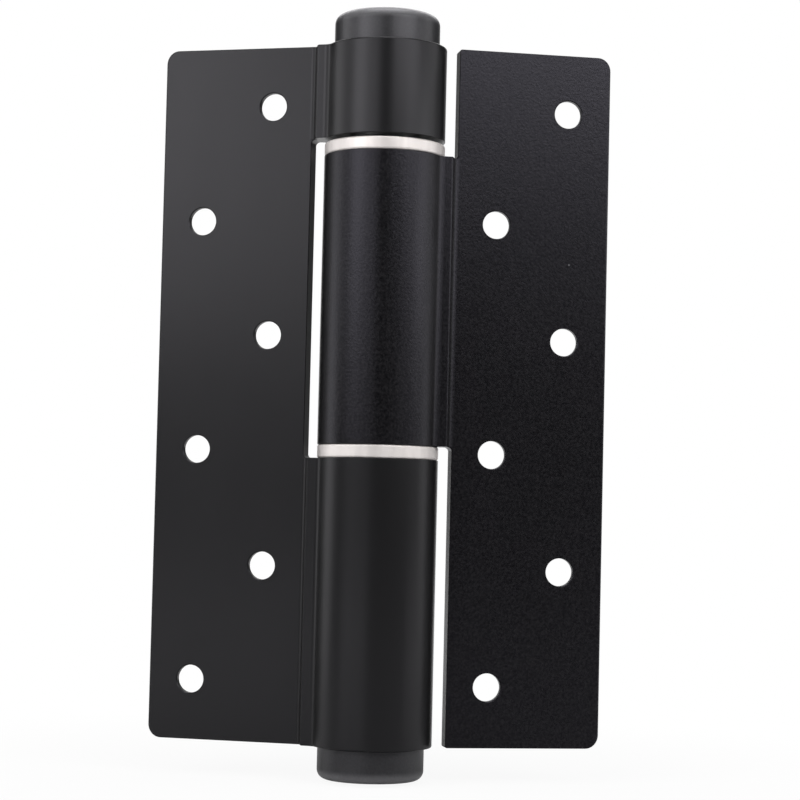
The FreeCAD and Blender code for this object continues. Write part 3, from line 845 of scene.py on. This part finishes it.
def springTree():
    # a coil that stands on the origin, and a straight leg in line with its ends
    tree, graph, read = newTree("closingSpring", {
        "Geometry": "Geometry", "Turns": "Float", "Coil Radius": "Float", "Wire Radius": "Float",
        "Coil Height": "Float", "Leg Foot": "Float", "Leg Top": "Float",
        "Points Per Turn": "Int", "Sides": "Int", "Material": "Material"})

    def upAt(height):
        return graph.add("ShaderNodeCombineXYZ", {}, {"X": read("Coil Radius"), "Z": height})

    coil = graph.add("GeometryNodeCurveSpiral", {}, {
        "Resolution": read("Points Per Turn"), "Rotations": read("Turns"), "Height": read("Coil Height"),
        "Start Radius": read("Coil Radius"), "End Radius": read("Coil Radius")})
    leg = graph.add("GeometryNodeCurvePrimitiveLine", {}, {
        "Start": upAt(read("Leg Foot")), "End": upAt(read("Leg Top"))})
    path = graph.add("GeometryNodeJoinGeometry", {}, {"Geometry": [coil, leg]})
    wire = graph.add("GeometryNodeCurvePrimitiveCircle", {}, {
        "Resolution": read("Sides"), "Radius": read("Wire Radius")})
    wound = graph.add("GeometryNodeCurveToMesh", {}, {
        "Curve": path, "Profile Curve": wire, "Fill Caps": True})
    endTree(graph, wound, read("Material"))
    return tree


springLow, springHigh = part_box("torsion_spring")
coilFoot = springLow.z + springShape["lowLeg"]
coilHeight = springHigh.z - springShape["highLeg"] - coilFoot
coilRadius = (springHigh.x - springLow.x) / 2 - springShape["wireRadius"]
coilTurns = int(coilHeight / (2 * springShape["wireRadius"] + springShape["turnGap"]))
lowTurns = coilTurns // 2
lowHeight = coilHeight * lowTurns / coilTurns
highHeight = coilHeight - lowHeight
halfSpring = springTree()


def springHalf(name, foot, turns, height, leg):
    # half of the coil and its straight leg
    spring = newPiece(name, bmesh.new())
    runTree(spring, halfSpring, {
        "Turns": float(turns), "Coil Radius": coilRadius, "Wire Radius": springShape["wireRadius"],
        "Coil Height": height, "Leg Foot": leg[0], "Leg Top": leg[1],
        "Points Per Turn": springShape["pointsPerTurn"], "Sides": springShape["sides"],
        "Material": finishes["spring_steel"]})
    put(spring, restAngle, foot)
    smooth(spring)
    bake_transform(spring)
    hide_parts("torsion_spring")
    return spring


# the coil in two halves, lower and upper, both turned to the door leaf's rest angle
halves = [
    springHalf("closingSpring", coilFoot, lowTurns, lowHeight,
               (-springShape["lowLeg"], 0.0)),
    springHalf("closingSpringTop", coilFoot + lowHeight, coilTurns - lowTurns, highHeight,
               (highHeight, highHeight + springShape["highLeg"])),
]
print("spring wound:", sum(len(half.data.polygons) for half in halves), "faces")


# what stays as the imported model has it, in better finishes
for part in frame["record"]["subparts"]:
    for slot in frame["nodes"][part["node"]].material_slots:
        slot.material = finishes[part["material_slot"]]


cameraView = {
    "distance": 0.5852,       # from the middle of the barrel, along the view
    "turn": 14.87,            # degrees round to the right of square-on to the frame leaf
    "rise": 2.96,             # degrees the view looks up
    "roll": 1.35,
    "right": 0.00542,
    "up": -0.00139,
    "lens": 102.13,
    "nearest": 0.01,
    "farthest": 50,
}

viewTurn = math.radians(cameraView["turn"])
viewForward = (-math.sin(viewTurn), math.cos(viewTurn), 0.0)
aim = Matrix.Rotation(viewTurn, 3, "Z")
aim = aim @ Matrix.Rotation(math.radians(90 + cameraView["rise"]), 3, "X")
aim = aim @ Matrix.Rotation(math.radians(cameraView["roll"]), 3, "Z")
eye = middle + aim @ Vector((cameraView["right"], cameraView["up"], cameraView["distance"]))
camera = addObject("camera", bpy.data.cameras.new("camera"))
camera.data.lens = cameraView["lens"]
camera.data.clip_start, camera.data.clip_end = cameraView["nearest"], cameraView["farthest"]
camera.matrix_world = Matrix.Translation(eye) @ aim.to_4x4()
bpy.context.scene.camera = camera

# softboxes stand on an arc round the hinge, one at each turn and rise:
# turn is in degrees to the right of the camera, rise in degrees above level
studio = {
    "distance": 0.45,
    "boxSize": (0.20, 0.115),
    "lamps": {
        "rimLeft": {"turns": (-100,), "rises": (28, 14, 0, -16), "glow": 1.8},
        "sideLeft": {"turns": (-75,), "rises": (28, 14), "glow": 1.1},
        "keyLeft": {"turns": (-50,), "rises": (28, 14), "glow": 3.7},
        "frontLeft": {"turns": (-25,), "rises": (28, 14), "glow": 2.0},
        "lowLeft": {"turns": (-50, -25), "rises": (-16,), "glow": 2.4},
        "bankRight": {"turns": (25, 50), "rises": (28,), "glow": 4.7},
        "frontRight": {"turns": (50,), "rises": (28, 14), "glow": 1.3},
        "sideRight": {"turns": (75,), "rises": (14,), "glow": 3.3},
        "lowRight": {"turns": (75,), "rises": (-16,), "glow": 1.8},
        "rimRight": {"turns": (100,), "rises": (28, 14, 0, -16), "glow": 1.3},
        "over": {"turns": (-50, 0, 50), "rises": (58,), "glow": 2.6},
        "overhead": {"turns": (0,), "rises": (84,), "glow": 4.2, "size": (0.30, 0.22)},
        "behindTop": {"turns": (180,), "rises": (62, 44), "glow": 2.4, "size": (0.42, 0.12)},
    },
    "room": 0.20,             # light from all round, on matt surfaces
    "skyFrom": 0.85,          # reflections turn white from here, 1 is straight behind the hinge
    "skyTo": 0.985,
    "floorWidth": 2.5,
    "floorDrop": 0.0002,      # under the hinge
    "floorColour": (0.62, 0.62, 0.62, 1),
    "floorFrom": 0.15,        # the floor's reflection turns white from here, behind the hinge
    "floorTo": 0.5,
    "shadowFrom": 0.10,       # the shadow is seen this near to the hinge's middle
    "shadowTo": 0.24,
    "shadowWhite": 0.92,      # share of white in it
}


def aimed(turn, rise):
    around, rise = math.radians(cameraView["turn"] + turn), math.radians(rise)
    away = Vector((math.sin(around) * math.cos(rise), -math.cos(around) * math.cos(rise), math.sin(rise)))
    facing = away.to_track_quat("Z", "Y").to_matrix().to_4x4()
    return Matrix.Translation(middle + away * studio["distance"]) @ facing


for name, lamp in studio["lamps"].items():
    for turn, rise in ((turn, rise) for turn in lamp["turns"] for rise in lamp["rises"]):
        light = bpy.data.lights.new("%s_%d_%d" % (name, turn, rise), "AREA")
        light.shape = "RECTANGLE"
        width, height = studio["boxSize"]
        width *= math.cos(math.radians(rise))            # so that neighbours don't overlap
        light.size, light.size_y = lamp.get("size", (width, height))
        light.energy = lamp["glow"] * math.pi * light.size * light.size_y
        softbox = addObject(light.name, light)
        softbox.matrix_world = aimed(turn, rise)
        softbox.visible_camera = False


def rays(graph, kind):
    return graph.add("ShaderNodeLightPath", {}, {}, out="Is %s Ray" % kind)


def behind(graph, place, near, far):
    # 0 in front of the hinge and 1 behind it, as the camera looks
    depth = graph.add("ShaderNodeVectorMath", {"operation": "DOT_PRODUCT"},
                      {0: place, 1: viewForward}, out="Value")
    return graph.between(depth, near, far)


def floorWhite():
    material, graph, place = newFinish("floorWhite")
    away = graph.add("ShaderNodeVectorMath", {"operation": "DISTANCE"},
                     {0: place, 1: tuple(middle)}, out="Value")
    plain = graph.add("ShaderNodeBsdfDiffuse", {}, {"Color": studio["floorColour"], "Roughness": 1.0})
    white = graph.add("ShaderNodeEmission", {}, {"Color": (1, 1, 1, 1), "Strength": 1.0})
    seen = graph.between(away, studio["shadowFrom"], studio["shadowTo"], studio["shadowWhite"], 1.0)
    start = middle.dot(Vector(viewForward))
    mirrored = behind(graph, place, start + studio["floorFrom"], start + studio["floorTo"])
    share = rays(graph, "Camera") * seen + rays(graph, "Glossy") * mirrored
    mixed = graph.add("ShaderNodeMixShader", {}, {0: share, 1: plain, 2: white})
    graph.add("ShaderNodeOutputMaterial", {}, {"Surface": mixed})
    return material


floorHalf, floorLevel = studio["floorWidth"] / 2, cadBox[0].z - studio["floorDrop"]
floorMesh = bpy.data.meshes.new("floor")
floorMesh.from_pydata([(middle.x + x * floorHalf, middle.y + y * floorHalf, floorLevel)
                       for x, y in ((-1, -1), (1, -1), (1, 1), (-1, 1))], [], [(0, 1, 2, 3)])
floorMesh.materials.append(floorWhite())
addObject("floor", floorMesh)

world = bpy.data.worlds.new("studio")
bpy.context.scene.world = world
world.use_nodes = True
world.node_tree.nodes.clear()
sky = Graph(world.node_tree)
dark, roomLight, backdrop = (
    sky.add("ShaderNodeBackground", {}, {"Color": (1, 1, 1, 1), "Strength": strength})
    for strength in (0.0, studio["room"], 1.0))
direction = sky.add("ShaderNodeTexCoord", out="Generated")
mirrored = behind(sky, direction, studio["skyFrom"], studio["skyTo"])
seen = rays(sky, "Camera") + rays(sky, "Glossy") * mirrored
lit = sky.add("ShaderNodeMixShader", {}, {0: rays(sky, "Diffuse"), 1: dark, 2: roomLight})
lit = sky.add("ShaderNodeMixShader", {}, {0: seen, 1: lit, 2: backdrop})
sky.add("ShaderNodeOutputWorld", {}, {"Surface": lit})
bpy.context.scene.view_settings.view_transform = "Standard"
print("studio lit")
